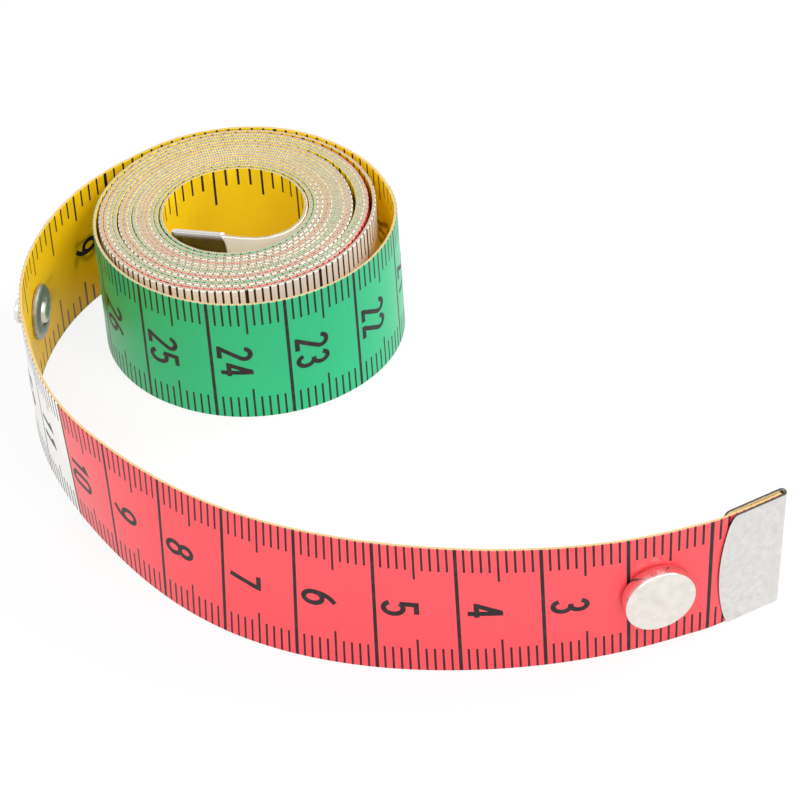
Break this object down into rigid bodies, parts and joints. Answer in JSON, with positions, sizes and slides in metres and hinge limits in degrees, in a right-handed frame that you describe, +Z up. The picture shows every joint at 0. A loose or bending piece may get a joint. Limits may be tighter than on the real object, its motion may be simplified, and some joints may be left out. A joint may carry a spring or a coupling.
{
  "type": "cloth tape measure",
  "caption": "Coated cloth measuring tape standing on edge, rolled with a loose outer turn and a long free end, metal end clips and a press fastener that closes the roll.",
  "frame": {"origin": "on the surface that the tape stands on, under the middle of the whole piece", "axes": "+Z up along the tape's width, +X to the zero end's side, -Y to the front where the zero end runs past the roll"},
  "size_m": [0.0932, 0.0931, 0.018],
  "materials": {
    "cloth_roll": "PVC coated woven cloth, coloured in fields, satin",
    "cloth_lead": "PVC coated woven cloth, yellow inside and white outside, satin",
    "cloth_tail": "PVC coated woven cloth, red outside and yellow inside, satin",
    "clip_plate": "nickel plated sheet, lightly brushed",
    "snap_plate": "nickel plated pressed brass, satin",
    "spring_wire": "drawn spring wire"
  },
  "bodies": {
    "roll": {"tape_coil": "cloth_roll", "far_end_clip": "clip_plate"},
    "lead": {"tape_lead": "cloth_lead", "snap_stud": "snap_plate", "snap_eyelet": "snap_plate"},
    "tail": {"tape_tail": "cloth_tail"},
    "tip": {"tape_tip": "cloth_tail", "zero_end_clip": "clip_plate", "snap_cap": "snap_plate", "snap_socket": "snap_plate"},
    "spring_leg_upper": {"snap_spring_leg_upper": "spring_wire"},
    "spring_leg_lower": {"snap_spring_leg_lower": "spring_wire"}
  },
  "joints": [
    {"name": "lead_bend", "type": "hinge", "parent": "roll", "child": "lead", "pos_m": [-0.03579, 0.03648, 0], "axis": [0, 0, 1], "range_deg": [-25, 10], "stiffness_Nm_per_rad": 0.002},
    {"name": "tail_bend", "type": "hinge", "parent": "lead", "child": "tail", "pos_m": [-0.03203, -0.02121, 0], "axis": [0, 0, 1], "range_deg": [-30, 30], "stiffness_Nm_per_rad": 0.002},
    {"name": "tip_bend", "type": "hinge", "parent": "tail", "child": "tip", "pos_m": [0.01622, -0.04484, 0], "axis": [0, 0, 1], "range_deg": [-30, 30], "stiffness_Nm_per_rad": 0.002},
    {"name": "spring_upper_slide", "type": "slide", "parent": "tip", "child": "spring_leg_upper", "axis": [0.0204, -0.074, 0.997], "range_m": [0, 0.00035], "stiffness_N_per_m": 1500},
    {"name": "spring_lower_slide", "type": "slide", "parent": "tip", "child": "spring_leg_lower", "axis": [-0.0204, 0.074, -0.997], "range_m": [0, 0.0012]}
  ],
  "couplings": [
    {"joint": "spring_lower_slide", "follows": "spring_upper_slide", "ratio": 1}
  ]
}
